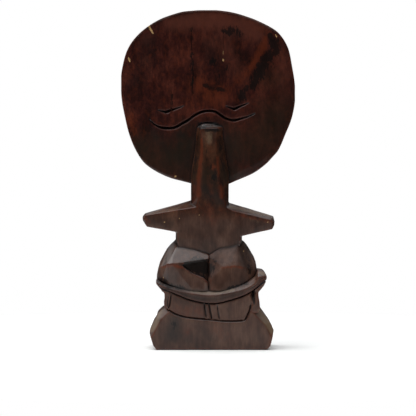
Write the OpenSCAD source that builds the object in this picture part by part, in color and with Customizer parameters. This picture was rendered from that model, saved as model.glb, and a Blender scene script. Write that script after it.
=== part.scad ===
// Disc-headed doll seated on a curved stool, carved from one billet of wood.
// The carving has no joints, so each node is one carved mass, and
// neighbouring masses meet face to face at the creases.
// X is the width, Y the depth (the face looks along -Y), Z is up. Millimetres.

/* [Head] */
// Width of the head disc
head_w = 170; // [150:1:190]
// Height of the head disc above the neck
head_h = 170; // [150:1:190]
// Thickness of the head disc
head_t = 17; // [13:0.5:22]
// Rounding of the disc's front edge
front_edge = 3; // [1:0.5:4]
// Rounding of the disc's back edge
back_edge = 6; // [2:0.5:7]
// Depth of the shallow hollows beside the nose
hollow_depth = 1.5; // [0.5:0.1:2.5]

/* [Face lines] */
// Width of the brow line
brow_w = 2.4; // [1.6:0.1:3.2]
// Depth of the brow line
brow_d = 2; // [1:0.1:3]
// Width of the eye slits at their widest
eye_w = 3; // [2:0.1:4]
// Depth of the eye slits
eye_d = 2; // [1:0.1:3]

/* [Neck and nose] */
// Height of the bare neck
neck_h = 22; // [16:1:30]
// Height of the nose ridge on the disc
nose_h = 59; // [48:1:62]
// How far the nose stands out from the disc at the neck
nose_out = 12; // [9:0.5:14]

/* [Body] */
// Height of the body above the middle of the seat
body_h = 80; // [73:1:88]
// Length of each arm stub beyond the chest
arm_len = 33; // [24:1:42]
// Thickness of the chest, front to back
chest_t = 29; // [24:1:32]

/* [Stool] */
// Width of the foot block
base_w = 120; // [112:1:130]
// Depth of the foot block
base_d = 62; // [58:1:72]
// Height of the underside of the seat at its middle
seat_z = 46; // [44:1:52]
// Thickness of the seat at its middle
seat_t = 12; // [10:0.5:14]
// Dip of the seat between its ends
seat_dip = 13; // [11:0.5:15]
// Width and depth of the scratched panel lines
line_w = 1.8; // [1.2:0.1:2.4]

/* [Hidden] */

stain = [0.30, 0.17, 0.12];
worn = [0.36, 0.22, 0.17];

// The disc's front face and the chest's front face
face_y = -4;
chest_y = -16;
disc_back = face_y + head_t;
chest_back = chest_y + chest_t;

// Levels: top of the seat's middle, top of the body, underside of the head
seat_top = seat_z + seat_t;
neck_z = seat_top + body_h;
head_z = neck_z + neck_h;
kx = head_w / 170;
kz = head_h / 170;
kb = body_h / 80;
kw = base_w / 120;
mid_x = 0.5;
chest_l = -31;
chest_r = 32;

// Circles of the seat's two faces, found from a 96 mm chord and its dip
seat_x = 2;
top_r = (48 * 48 + seat_dip * seat_dip) / (2 * seat_dip);
low_dip = seat_dip + 3;
low_r = (48 * 48 + low_dip * low_dip) / (2 * low_dip);

// Head outline: widest a little above its middle, flatter at the lower left
head_pts = [
    [5, 170], [-30, 167], [-51, 159], [-70, 144], [-81, 124], [-85, 97],
    [-81, 66], [-71, 35], [-60, 19], [-47, 11], [-26, 3.5], [-10, -1],
    [12, -1], [27, 3.5], [44, 11], [63, 27], [76, 50], [82, 66],
    [85, 90], [80, 124], [71, 144], [49, 159], [26, 167]
];

// Brow: one wave from cheek to cheek that lifts over the nose
brow_pts = [
    [-57, 223], [-52, 218.5], [-46, 215.5], [-40, 214.5], [-32, 215.5],
    [-26, 219], [-20, 222.5], [-14, 227], [-7, 230.5], [-1, 231.5],
    [6, 231], [10, 229], [15, 225.5], [20, 223.5], [25, 222.5],
    [30.5, 223.5], [38.5, 226], [46, 229]
];
left_eye = [[-47.5, 232], [-40, 230], [-24, 236.5]];
right_eye = [[17.5, 236.5], [25, 233.5], [39.5, 239.5]];

// One step of a curve through four points
function bend(a, b, c, d, t) =
    0.5 * (2 * b + (c - a) * t
    + (2 * a - 5 * b + 4 * c - d) * t * t
    + (3 * b - a - 3 * c + d) * t * t * t);

// Closed curve through every point, with n steps between two points
function ring(p, n) = [
    for (i = [0:len(p) - 1])
    for (k = [0:n - 1])
    bend(p[(i + len(p) - 1) % len(p)], p[i], p[(i + 1) % len(p)],
        p[(i + 2) % len(p)], k / n)
];

head_ring = [for (p = ring(head_pts, 3)) [p[0] * kx, head_z + p[1] * kz]];

// A front outline, thick from y0 to y1
module slab(y0, y1) {
    translate([0, y1, 0])
    rotate([90, 0, 0])
    linear_extrude(y1 - y0)
    children();
}

// Skin over sections that all have the same number of corners
module loft(s) {
    n = len(s[0]);
    m = len(s);
    polyhedron(
        points = [for (r = s) for (p = r) p],
        faces = concat(
            [[for (i = [0:n - 1]) i]],
            [for (j = [0:m - 2]) for (i = [0:n - 1])
                [j * n + i, (j + 1) * n + i, (j + 1) * n + (i + 1) % n]],
            [for (j = [0:m - 2]) for (i = [0:n - 1])
                [j * n + i, (j + 1) * n + (i + 1) % n, j * n + (i + 1) % n]],
            [[for (i = [n - 1:-1:0]) (m - 1) * n + i]]
        )
    );
}

// Sections that stand across X, given as [x, [[y, z], ...]]
module across(s) {
    loft([for (r = s) [for (p = r[1]) [r[0], p[0], p[1]]]]);
}

// Sections that lie level, given as [z, [[x, y], ...]]
module upward(s) {
    loft([for (r = s) [for (p = r[1]) [p[0], p[1], r[0]]]]);
}

// Rise of a line of points at point i
function slope(p, i, n) =
    (p[min(i + 1, n)][1] - p[max(i - 1, 0)][1]) / (p[min(i + 1, n)][0] - p[max(i - 1, 0)][0]);

// Share of the full width at point i: a carved line thins out toward both ends
function taper(i, n) = 0.35 + 0.65 * sin(180 * i / n);

// Carved V line that runs from left to right on the front plane y
module long_line(p, w, d, y) {
    n = len(p) - 1;
    across([
        for (i = [0:n])
        let (h = w * taper(i, n) * norm([1, slope(p, i, n)]) / 2)
        [p[i][0], [[y - 0.5, p[i][1] - h * 1.2], [y + d * taper(i, n), p[i][1]],
            [y - 0.5, p[i][1] + h * 1.2]]]
    ]);
}

// Carved V line that runs from bottom to top on the front plane y
module tall_line(p, w, d, y) {
    n = len(p) - 1;
    upward([
        for (i = [0:n])
        let (h = w * taper(i, n) / 2)
        [p[i][1], [[p[i][0] - h * 1.2, y - 0.5], [p[i][0] + h * 1.2, y - 0.5],
            [p[i][0], y + d * taper(i, n)]]]
    ]);
}

// Points of a face line, moved with the head's size
function face(p) = [for (q = p) [q[0] * kx, head_z + (q[1] - 160) * kz]];

// Head outline drawn in by r toward the middle, at depth y
function rim(r, y) = [
    for (p = head_ring)
    let (v = [p[0], p[1] - head_z - 85 * kz])
    [p[0] - r * v[0] / norm(v), y, p[1] - r * v[1] / norm(v)]
];

module disc_blank() {
    loft(concat(
        [for (a = [0:30:90])
            rim(back_edge * (1 - sin(a)), disc_back - back_edge * (1 - cos(a)))],
        [for (a = [90:-30:0])
            rim(front_edge * (1 - sin(a)), face_y + front_edge * (1 - cos(a)))]
    ));
}

// Shallow scoop beside the nose, deepest at the disc's foot and gone 50 mm up
module scoop(x, r) {
    translate([x, face_y + hollow_depth - r, head_z])
    rotate([atan(hollow_depth / 50), 0, 0])
    translate([0, 0, -20])
    cylinder(h = 75, r = r, $fn = 90);
}

// The ground that the nose and neck stand on
module nose_ground() {
    slab(face_y - 1, disc_back)
    polygon([[-17, head_z - 10], [20, head_z - 10], [20, head_z + 8],
        [14.5, head_z + nose_h], [-11.5, head_z + nose_h], [-17, head_z + 14]]);
}

module head_disc() {
    color(stain)
    difference() {
        disc_blank();
        translate([-60, -40, head_z - 30])
        cube([120, 80, 30]);
        difference() {
            union() {
                scoop(-25, 70);
                scoop(29, 70);
            }
            nose_ground();
        }
        long_line(face(brow_pts), brow_w, brow_d, face_y);
        long_line(face(left_eye), eye_w, eye_d, face_y);
        long_line(face(right_eye), eye_w, eye_d, face_y);
    }
}

// Front of the nose at a share k of its full stand-out
function nose_y(k) = face_y - nose_out * k;

module nose_ridge() {
    h = nose_h;
    color(worn)
    upward([
        [head_z, [[-17, face_y], [-17, nose_y(0.35)], [-9, nose_y(1)],
            [11.5, nose_y(1)], [20, nose_y(0.4)], [20, face_y]]],
        [head_z + 0.25 * h, [[-16, face_y], [-15.5, nose_y(0.35)], [-8, nose_y(0.97)],
            [10, nose_y(0.97)], [19, nose_y(0.38)], [19.3, face_y]]],
        [head_z + 0.62 * h, [[-12.5, face_y], [-12, nose_y(0.25)], [-5.5, nose_y(0.83)],
            [7.8, nose_y(0.83)], [15.5, nose_y(0.25)], [16, face_y]]],
        [head_z + 0.87 * h, [[-11.3, face_y], [-11, nose_y(0.2)], [-7.2, nose_y(0.68)],
            [8.8, nose_y(0.68)], [13.8, nose_y(0.2)], [14.3, face_y]]],
        [head_z + 0.93 * h, [[-11, face_y], [-10.8, nose_y(0.15)], [-7, nose_y(0.3)],
            [9.5, nose_y(0.3)], [13.5, nose_y(0.15)], [14, face_y]]],
        [head_z + h, [[-6.5, face_y], [-6.4, nose_y(0.05)], [-5, nose_y(0.1)],
            [5, nose_y(0.1)], [6.4, nose_y(0.05)], [6.5, face_y]]]
    ]);
}

// Neck corners at a level; l and r are where its flat front starts and ends
function neck_ring(l, r) = [
    [l, chest_y], [r, chest_y], [20, chest_y + 7.2], [20, 7],
    [13, chest_back], [-10, chest_back], [-17, 7], [-17, chest_y + 7.8]
];

module neck_column(top) {
    upward([[neck_z, neck_ring(-11, 17.5)], [top, neck_ring(-9, 11.5)]]);
}

module neck() {
    color(worn)
    neck_column(head_z);
}

// Chest section: underside, front top edge, crest of the shoulder
function chest(low, edge, crest) = [
    [chest_y, neck_z - low * kb], [chest_back, neck_z - low * kb],
    [chest_back, neck_z - edge + 1], [4, neck_z + crest],
    [-1, neck_z + crest], [chest_y, neck_z - edge]
];

module chest_blank() {
    across([
        [chest_l, chest(31, 3, 1.8)],
        [-28.5, chest(39.2, 2.5, 2.6)],
        [-11.5, chest(42.5, 0.5, 7.6)],
        [mid_x, chest(46.5, 0.5, 7)],
        [12, chest(41, 0.5, 6)],
        [30, chest(38, 6, 0.9)],
        [chest_r, chest(30, 6.5, 0.3)]
    ]);
}

module torso() {
    color(stain)
    difference() {
        chest_blank();
        neck_column(head_z);
    }
}

// Arm section: underside, front top edge and crest measured down from the neck's foot
function limb(yf, yb, low, edge, crest) = [
    [yf, neck_z - low], [yb, neck_z - low], [yb, neck_z - edge + 1],
    [4 * yb / 13, neck_z - crest], [-1, neck_z - crest], [yf, neck_z - edge]
];

module left_arm() {
    color(stain)
    across([
        [chest_l - arm_len, limb(chest_y + 5, chest_back - 5, 17, 9.5, 9)],
        [chest_l - 0.92 * arm_len, limb(chest_y + 3, chest_back - 3, 18.3, 8.2, 7.5)],
        [chest_l, limb(chest_y, chest_back, 23.5, 3, -1.8)]
    ]);
}

module right_arm() {
    color(stain)
    across([
        [chest_r, limb(chest_y, chest_back, 28, 6.5, -0.3)],
        [chest_r + 0.12 * arm_len, limb(chest_y, chest_back, 26.3, 8, 0.9)],
        [chest_r + 0.94 * arm_len, limb(chest_y + 3, chest_back - 3, 21.5, 9.7, 9)],
        [chest_r + arm_len, limb(chest_y + 5, chest_back - 5, 19, 12, 11.5)]
    ]);
}

// Thigh section: six corners, from the front of the underside round by the back
function lobe(p) = [for (q = p) [q[0], seat_top + (q[1] - 58) * kb]];

// Everything that lies above the seat's dished top
module above_seat() {
    slab(-40, 40)
    intersection() {
        translate([seat_x, seat_top + top_r])
        circle(r = top_r, $fn = 180);
        translate([-60, 0])
        square([120, 140 + body_h]);
    }
}

module left_thigh() {
    color(worn)
    difference() {
        intersection() {
            across([
                [-50.5, lobe([[-9, 58], [12, 58], [14, 66], [8, 72], [-6, 72], [-11, 67]])],
                [-46, lobe([[-23, 56], [20, 56], [22, 72], [12, 86], [-6, 86], [-24, 78]])],
                [-38, lobe([[-26, 52], [24, 52], [26, 74], [14, 99], [-8, 99], [-28.5, 81]])],
                [chest_l, lobe([[-26.5, 50], [25, 50], [27, 74], [14, 107], [-8, 107], [-30, 83]])],
                [-27, lobe([[-27, 49], [26, 49], [28, 74], [16, 107], [-15.9, 98.6], [-30.5, 82.5]])],
                [-18, lobe([[-27.5, 48], [26, 48], [28, 74], [18, 104], [-15.9, 96.7], [-29, 76]])],
                [-8, lobe([[-27, 47], [25, 47], [27, 73], [18, 102], [-15.9, 94], [-23, 76]])],
                [mid_x, lobe([[-24, 47], [23, 47], [24, 72], [18, 100], [-15.9, 91.5], [-19, 74]])]
            ]);
            above_seat();
        }
        chest_blank();
    }
}

module right_thigh() {
    color(worn)
    difference() {
        intersection() {
            across([
                [mid_x, lobe([[-24, 47], [23, 47], [24, 72], [18, 100], [-15.9, 91.5], [-19, 74]])],
                [7, lobe([[-27, 47], [25, 47], [27, 73], [18, 102], [-15.9, 94.5], [-25, 78]])],
                [14, lobe([[-27.5, 48], [26, 48], [28, 74], [18, 104], [-15.9, 97.3], [-29, 80]])],
                [25, lobe([[-27, 49], [26, 49], [28, 74], [16, 107], [-15.9, 99.1], [-30.5, 81.5]])],
                [chest_r, lobe([[-26.5, 50], [25, 50], [27, 74], [14, 107], [-8, 106], [-29, 79.5]])],
                [40, lobe([[-25, 53], [24, 53], [26, 74], [14, 97], [-8, 97], [-26, 76]])],
                [45, lobe([[-20, 57], [20, 57], [21, 72], [12, 88], [-6, 88], [-21, 74]])],
                [47.5, lobe([[-9, 60], [12, 60], [14, 68], [8, 77], [-6, 77], [-12, 70]])]
            ]);
            above_seat();
        }
        chest_blank();
    }
}

// Front outline of the seat: a crescent between two arcs
module crescent() {
    intersection() {
        difference() {
            translate([seat_x, seat_z + low_r])
            circle(r = low_r, $fn = 180);
            translate([seat_x, seat_top + top_r])
            circle(r = top_r, $fn = 180);
        }
        polygon([[-42, seat_z - 5], [-42, seat_z + 8.5], [-45.5, seat_z + 12],
            [-49, seat_z + 16], [-50.5, seat_z + 20], [-50.5, seat_z + 40], [57, seat_z + 40],
            [57, seat_z + 25], [55, seat_z + 18.5], [50, seat_z + 12], [50, seat_z - 5]]);
    }
}

// The one raised end of the seat
module horn() {
    polygon([[47.5, seat_z + 16], [55, seat_z + 18.5], [57, seat_z + 25],
        [54.5, seat_z + 29.5], [47.5, seat_z + 30.5]]);
}

module stool_seat() {
    front = -base_d / 2 + 0.5;
    color(stain)
    difference() {
        slab(front, 28)
        union() {
            crescent();
            horn();
        }
        // sloped strip along the front of the seat, which stops at the horn
        difference() {
            translate([seat_x, front - 1, seat_top + top_r])
            rotate([-90, 0, 0])
            cylinder(h = 6, r1 = top_r + 6, r2 = top_r, $fn = 180);
            slab(front - 2, 28)
            horn();
        }
    }
}

// The support goes down to the lowest panel line, where the foot block starts
function panel_foot() = [
    [-44, 40], [-38.5, 39.5], [-32, 34.5], [-21, 31.5], [-4.5, 29.5],
    [12, 28], [34.5, 27.5], [40.5, 36.5], [50, 40]
];

module stool_support() {
    front = -base_d / 2 + 2.5;
    color(stain)
    difference() {
        slab(front, 27)
        difference() {
            polygon(concat(panel_foot(), [[49, seat_z + 20], [-42.5, seat_z + 20]]));
            translate([seat_x, seat_z + low_r])
            circle(r = low_r, $fn = 180);
        }
        // sides of the panel
        tall_line([[-38, 41], [-37, 48], [-35, 54]], line_w, line_w, front);
        tall_line([[40.5, 37], [43.5, 46], [40, 54]], line_w, line_w, front);
        // three slanting strokes
        tall_line([[-1, 31], [-2, 38], [-2.5, 45]], line_w, line_w, front);
        tall_line([[5, 30], [3, 38], [1.5, 45]], line_w, line_w, front);
        tall_line([[12.5, 30.5], [11, 37], [9.5, 43]], line_w, line_w, front);
    }
}

// Facet off the left front corner; low and high are how far out it
// starts on the front face, 17 mm and 38 mm up
module corner_cut(low, high) {
    upward([
        for (z = [-2, 46])
        let (x = -high - (38 - z) * (low - high) / 21)
        [z, [[x + 2, -base_d / 2 - 2.5], [x - 16, -base_d / 2 + 20], [x - 40, -base_d / 2 - 3]]]
    ]);
}

module stool_base() {
    front = -base_d / 2;
    color(worn)
    difference() {
        slab(front, base_d / 2)
        polygon(concat(
            panel_foot(),
            [[55 * kw, 34], [64 * kw, 18.5], [63 * kw, 12], [61 * kw, 3], [58 * kw, 0],
            [-50 * kw, 0], [-53 * kw, 4], [-56 * kw, 16], [-49 * kw, 34]]
        ));
        // leaning facets at the two upper front corners
        corner_cut(50 * kw, 42 * kw);
        mirror([1, 0, 0])
        corner_cut(57 * kw, 47 * kw);
    }
}

head_disc();
nose_ridge();
neck();
torso();
left_arm();
right_arm();
left_thigh();
right_thigh();
stool_seat();
stool_support();
stool_base();
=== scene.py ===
import math

import bmesh
import bpy
import numpy as np
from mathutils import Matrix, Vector
from mathutils.bvhtree import BVHTree
from mathutils.kdtree import KDTree
from mathutils.geometry import delaunay_2d_cdt


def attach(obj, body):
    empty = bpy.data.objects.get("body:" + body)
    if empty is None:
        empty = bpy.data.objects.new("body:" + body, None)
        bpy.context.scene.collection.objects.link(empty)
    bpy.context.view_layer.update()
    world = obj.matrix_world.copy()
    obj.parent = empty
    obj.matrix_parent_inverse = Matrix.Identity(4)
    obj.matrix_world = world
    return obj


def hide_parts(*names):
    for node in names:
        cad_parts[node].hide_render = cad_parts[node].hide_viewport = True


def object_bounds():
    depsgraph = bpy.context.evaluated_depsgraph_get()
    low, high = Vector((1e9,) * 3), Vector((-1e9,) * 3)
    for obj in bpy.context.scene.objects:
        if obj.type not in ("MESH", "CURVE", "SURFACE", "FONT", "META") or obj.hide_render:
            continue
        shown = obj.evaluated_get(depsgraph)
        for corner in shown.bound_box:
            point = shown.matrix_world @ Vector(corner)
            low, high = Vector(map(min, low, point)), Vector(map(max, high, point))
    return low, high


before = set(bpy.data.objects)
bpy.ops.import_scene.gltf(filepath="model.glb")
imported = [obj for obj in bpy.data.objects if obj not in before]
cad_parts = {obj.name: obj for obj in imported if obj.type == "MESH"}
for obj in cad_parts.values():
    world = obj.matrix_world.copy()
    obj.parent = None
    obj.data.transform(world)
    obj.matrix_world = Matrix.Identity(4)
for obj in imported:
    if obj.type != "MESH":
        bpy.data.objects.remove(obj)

# A disc-headed doll on a curved stool, cut from one billet. Outlines are written
# in millimetres and turned to metres when a mesh is made. The face looks along -Y.
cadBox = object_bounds()
print("frame loaded:", ", ".join(sorted(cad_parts)))

mm = 0.001


# Meshes from plain points.
def meshObject(name, verts, faces):
    mesh = bpy.data.meshes.new(name)
    mesh.from_pydata([tuple(c * mm for c in v) for v in verts], [], faces)
    mesh.validate()
    obj = bpy.data.objects.new(name, mesh)
    bpy.context.scene.collection.objects.link(obj)
    return obj


def hullPart(points):
    # the tight skin round a few corners: one knife-cut block
    bm = bmesh.new()
    for p in points:
        bm.verts.new(p)
    made = bmesh.ops.convex_hull(bm, input=bm.verts)
    loose = [g for g in made["geom_interior"] + made["geom_unused"] if isinstance(g, bmesh.types.BMVert)]
    bmesh.ops.delete(bm, geom=list(set(loose)), context="VERTS")
    bmesh.ops.recalc_face_normals(bm, faces=bm.faces)
    return packPart(bm)


def packPart(bm):
    bm.verts.index_update()
    part = [tuple(v.co) for v in bm.verts], [[v.index for v in f.verts] for f in bm.faces]
    bm.free()
    return part


def loftPart(sections):
    # skin over closed sections with equal numbers of corners
    n = len(sections[0])
    verts = [p for s in sections for p in s]
    faces = [list(range(n)), [(len(sections) - 1) * n + i for i in range(n)][::-1]]
    for j in range(len(sections) - 1):
        for i in range(n):
            a, b = j * n + i, j * n + (i + 1) % n
            faces.append([a, b, b + n])
            faces.append([a, b + n, a + n])
    bm = bmesh.new()
    made = [bm.verts.new(v) for v in verts]
    for f in faces:
        bm.faces.new([made[i] for i in f])
    bmesh.ops.triangulate(bm, faces=[f for f in bm.faces if len(f.verts) > 3])
    bmesh.ops.recalc_face_normals(bm, faces=bm.faces)
    return packPart(bm)


def facetCut(part, point, normal):
    # one straight knife cut: what lies on the normal's side is gone
    bm = bmesh.new()
    made = [bm.verts.new(v) for v in part[0]]
    for f in part[1]:
        bm.faces.new([made[i] for i in f])
    cut = bmesh.ops.bisect_plane(bm, geom=bm.verts[:] + bm.edges[:] + bm.faces[:],
                                 plane_co=point, plane_no=normal, clear_outer=True)
    rim = [e for e in cut["geom_cut"] if isinstance(e, bmesh.types.BMEdge)]
    bmesh.ops.contextual_create(bm, geom=rim)
    bmesh.ops.triangulate(bm, faces=[f for f in bm.faces if len(f.verts) > 4])
    bmesh.ops.recalc_face_normals(bm, faces=bm.faces)
    return packPart(bm)


def joined(parts):
    verts, faces = [], []
    for v, f in parts:
        faces += [[i + len(verts) for i in face] for face in f]
        verts += v
    return verts, faces


def bakeModifiers(obj):
    # the evaluated shape becomes a plain mesh, and the modifiers go
    graph = bpy.context.evaluated_depsgraph_get()
    mesh = bpy.data.meshes.new_from_object(obj.evaluated_get(graph))
    old = obj.data
    obj.modifiers.clear()
    obj.data = mesh
    bpy.data.meshes.remove(old)
    mesh.name = obj.name
    return obj


def carvedSkin(name, parts, voxel, soften):
    # overlapping blocks become one closed skin with hand-softened edges
    obj = meshObject(name, *joined(parts))
    remesh = obj.modifiers.new("oneSkin", "REMESH")
    remesh.mode = "VOXEL"
    remesh.voxel_size = voxel * mm
    remesh.adaptivity = 0
    smooth = obj.modifiers.new("rubbedEdges", "SMOOTH")
    smooth.factor = 0.5
    smooth.iterations = soften
    return bakeModifiers(obj)


def booleanCut(obj, tool, operation):
    cut = obj.modifiers.new("cut", "BOOLEAN")
    cut.operation = operation
    cut.solver = "MANIFOLD"
    cut.object = tool
    return bakeModifiers(obj)


def blockTool(low, high):
    corners = [(x, y, z) for x in (low[0], high[0]) for y in (low[1], high[1]) for z in (low[2], high[2])]
    return meshObject("cutTool", *hullPart(corners))


def copyOf(obj, name):
    twin = bpy.data.objects.new(name, obj.data.copy())
    bpy.context.scene.collection.objects.link(twin)
    return twin


def drop(*objs):
    for o in objs:
        mesh = o.data
        bpy.data.objects.remove(o)
        bpy.data.meshes.remove(mesh)


# Smooth curve through points; closed for an outline, open for a carved line
def curveThrough(points, steps, closed=False):
    pts = [np.array(p, float) for p in points]
    n = len(pts)
    out = []
    for i in range(n if closed else n - 1):
        if closed:
            a, b, c, d = pts[i - 1], pts[i], pts[(i + 1) % n], pts[(i + 2) % n]
        else:
            a, b, c, d = pts[max(i - 1, 0)], pts[i], pts[i + 1], pts[min(i + 2, n - 1)]
        for k in range(steps):
            t = k / steps
            out.append(0.5 * (2 * b + (c - a) * t + (2 * a - 5 * b + 4 * c - d) * t * t
                              + (3 * b - a - 3 * c + d) * t ** 3))
    if not closed:
        out.append(pts[-1])
    return np.array(out)


def smoothStep(low, high, value):
    t = np.clip((value - low) / (high - low), 0, 1)
    return t * t * (3 - 2 * t)


# One node helper for every tree.
def addNode(tree, kind, settings=None, inputs=None):
    # a node given as an input stands for its first output
    node = tree.nodes.new(kind)
    for key, value in (settings or {}).items():
        setattr(node, key, value)
    for key, value in (inputs or {}).items():
        if isinstance(value, bpy.types.Node):
            value = value.outputs[0]
        if isinstance(value, bpy.types.NodeSocket):
            tree.links.new(value, node.inputs[key])
        else:
            node.inputs[key].default_value = value
    return node


# Carved lines and tool marks.

# Each line: points (x, z), half width and depth at its widest, how it thins out at
# its ends, how sharply it bends, and how much of it is raw wood instead of painted groove shade.
def linePath(name, lines):
    verts, half, cut, bare = [], [], [], []
    for line in lines:
        pts = curveThrough(line["points"], 14) if line.get("soft", True) else straightSteps(line["points"])
        share = np.linspace(0, 1, len(pts))
        ends = line.get("ends", 0.25)
        thin = np.clip(np.minimum(share, 1 - share) / ends, 0, 1) ** 0.8
        if "peak" in line:  # a cut that is widest at one place, as from a single push of the knife
            thin = np.where(share < line["peak"], share / line["peak"],
                            (1 - share) / (1 - line["peak"])) ** 0.7
        for p, t in zip(pts, thin):
            verts.append((p[0], line.get("y", -4), p[1]))
            half.append(line["half"] * mm * (0.3 + 0.7 * t))
            cut.append(line["cut"] * mm * (0.2 + 0.8 * t))
            bare.append(line.get("bare", 0))
    obj = meshObject(name, verts, [])
    for key, values in (("half", half), ("cut", cut), ("bare", bare)):
        layer = obj.data.attributes.new(key, "FLOAT", "POINT")
        layer.data.foreach_set("value", values)
    return obj


def straightSteps(points):
    out = []
    for a, b in zip(points[:-1], points[1:]):
        steps = max(2, int(math.dist(a, b) / 0.3))
        out += [np.array(a) + (np.array(b) - np.array(a)) * k / steps for k in range(steps)]
    return np.array(out + [np.array(points[-1])])


# Geometry Nodes: shallow knife scallops and a hand's unevenness all over, then the
# carved lines pressed in along +Y wherever the skin faces the front, their floors marked for painted shade.
def handCutTree():
    tree = bpy.data.node_groups.new("handCut", "GeometryNodeTree")
    face = tree.interface
    face.new_socket(name="Geometry", in_out="INPUT", socket_type="NodeSocketGeometry")
    face.new_socket(name="Lines", in_out="INPUT", socket_type="NodeSocketObject")
    for label in ("Scallop Size", "Scallop Depth", "Wave Size", "Wave Depth", "Seed"):
        face.new_socket(name=label, in_out="INPUT", socket_type="NodeSocketFloat")
    face.new_socket(name="Finish", in_out="INPUT", socket_type="NodeSocketMaterial")
    face.new_socket(name="Geometry", in_out="OUTPUT", socket_type="NodeSocketGeometry")
    source = addNode(tree, "NodeGroupInput")
    place = addNode(tree, "GeometryNodeInputPosition")
    normal = addNode(tree, "GeometryNodeInputNormal")
    perMetre = addNode(tree, "ShaderNodeMath", {"operation": "DIVIDE"},
                       {0: 1.0, 1: source.outputs["Scallop Size"]})
    scallop = addNode(tree, "ShaderNodeTexVoronoi", {"voronoi_dimensions": "4D", "feature": "SMOOTH_F1"},
                      {"Vector": place, "W": source.outputs["Seed"],
                       "Scale": perMetre, "Smoothness": 0.25})
    bowl = addNode(tree, "ShaderNodeMath", {"operation": "POWER"}, {0: scallop.outputs["Distance"], 1: 2.0})
    bowlDepth = addNode(tree, "ShaderNodeMath", {"operation": "MULTIPLY"},
                        {0: bowl, 1: source.outputs["Scallop Depth"]})
    perMetre2 = addNode(tree, "ShaderNodeMath", {"operation": "DIVIDE"},
                        {0: 1.0, 1: source.outputs["Wave Size"]})
    wave = addNode(tree, "ShaderNodeTexNoise", {"noise_dimensions": "4D"},
                   {"Vector": place, "W": source.outputs["Seed"],
                    "Scale": perMetre2, "Detail": 2.0, "Roughness": 0.45})
    centred = addNode(tree, "ShaderNodeMath", {"operation": "SUBTRACT"}, {0: wave, 1: 0.5})
    waveDepth = addNode(tree, "ShaderNodeMath", {"operation": "MULTIPLY"},
                        {0: centred, 1: source.outputs["Wave Depth"]})
    rise = addNode(tree, "ShaderNodeMath", {"operation": "ADD"}, {0: bowlDepth, 1: waveDepth})
    lift = addNode(tree, "ShaderNodeVectorMath", {"operation": "SCALE"}, {0: normal, "Scale": rise})
    uneven = addNode(tree, "GeometryNodeSetPosition", {},
                     {"Geometry": source.outputs["Geometry"], "Offset": lift})
    # nearest point of the line path, its half width, depth and raw-wood share
    path = addNode(tree, "GeometryNodeObjectInfo", {"transform_space": "ORIGINAL"},
                   {"Object": source.outputs["Lines"]})
    nearest = addNode(tree, "GeometryNodeSampleNearest", {"domain": "POINT"},
                      {"Geometry": path.outputs["Geometry"], "Sample Position": place})
    read = {}
    for key in ("half", "cut", "bare"):
        stored = addNode(tree, "GeometryNodeInputNamedAttribute", {"data_type": "FLOAT"}, {"Name": key})
        sample = addNode(tree, "GeometryNodeSampleIndex", {"data_type": "FLOAT", "domain": "POINT"},
                         {"Geometry": path.outputs["Geometry"], "Value": stored,
                          "Index": nearest})
        read[key] = sample
    spot = addNode(tree, "GeometryNodeSampleIndex", {"data_type": "FLOAT_VECTOR", "domain": "POINT"},
                   {"Geometry": path.outputs["Geometry"], "Value": place,
                    "Index": nearest})
    away = addNode(tree, "ShaderNodeVectorMath", {"operation": "SUBTRACT"}, {0: place, 1: spot})
    flat = addNode(tree, "ShaderNodeVectorMath", {"operation": "MULTIPLY"}, {0: away, 1: (1, 0, 1)})
    gap = addNode(tree, "ShaderNodeVectorMath", {"operation": "LENGTH"}, {0: flat})
    safeHalf = addNode(tree, "ShaderNodeMath", {"operation": "MAXIMUM"}, {0: read["half"], 1: 1e-6})
    ratio = addNode(tree, "ShaderNodeMath", {"operation": "DIVIDE"}, {0: gap.outputs["Value"], 1: safeHalf})
    inside = addNode(tree, "ShaderNodeMath", {"operation": "SUBTRACT", "use_clamp": True},
                     {0: 1.0, 1: ratio})
    split = addNode(tree, "ShaderNodeSeparateXYZ", {}, {0: normal})
    front = addNode(tree, "ShaderNodeMath", {"operation": "LESS_THAN"}, {0: split.outputs["Y"], 1: -0.25})
    mask = addNode(tree, "ShaderNodeMath", {"operation": "MULTIPLY"}, {0: inside, 1: front})
    raw = addNode(tree, "ShaderNodeMath", {"operation": "MULTIPLY"}, {0: mask, 1: read["bare"]})
    notRaw = addNode(tree, "ShaderNodeMath", {"operation": "SUBTRACT"}, {0: 1.0, 1: read["bare"]})
    # the floor of a carved line that is not raw wood is marked for painted shade in the groove
    grime = addNode(tree, "ShaderNodeMath", {"operation": "MULTIPLY"}, {0: mask, 1: notRaw})
    depth = addNode(tree, "ShaderNodeMath", {"operation": "MULTIPLY"}, {0: mask, 1: read["cut"]})
    push = addNode(tree, "ShaderNodeCombineXYZ", {}, {"Y": depth})
    grooveShadeMark = addNode(tree, "GeometryNodeStoreNamedAttribute", {"data_type": "FLOAT", "domain": "POINT"},
                         {"Geometry": uneven, "Name": "groove", "Value": grime})
    rawMark = addNode(tree, "GeometryNodeStoreNamedAttribute", {"data_type": "FLOAT", "domain": "POINT"},
                      {"Geometry": grooveShadeMark, "Name": "rawWood", "Value": raw})
    carved = addNode(tree, "GeometryNodeSetPosition", {}, {"Geometry": rawMark, "Offset": push})
    real = addNode(tree, "GeometryNodeRealizeInstances", {}, {"Geometry": carved})
    finish = addNode(tree, "GeometryNodeSetMaterial", {},
                     {"Geometry": real, "Material": source.outputs["Finish"]})
    addNode(tree, "NodeGroupOutput", {}, {"Geometry": finish})
    return tree


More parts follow.
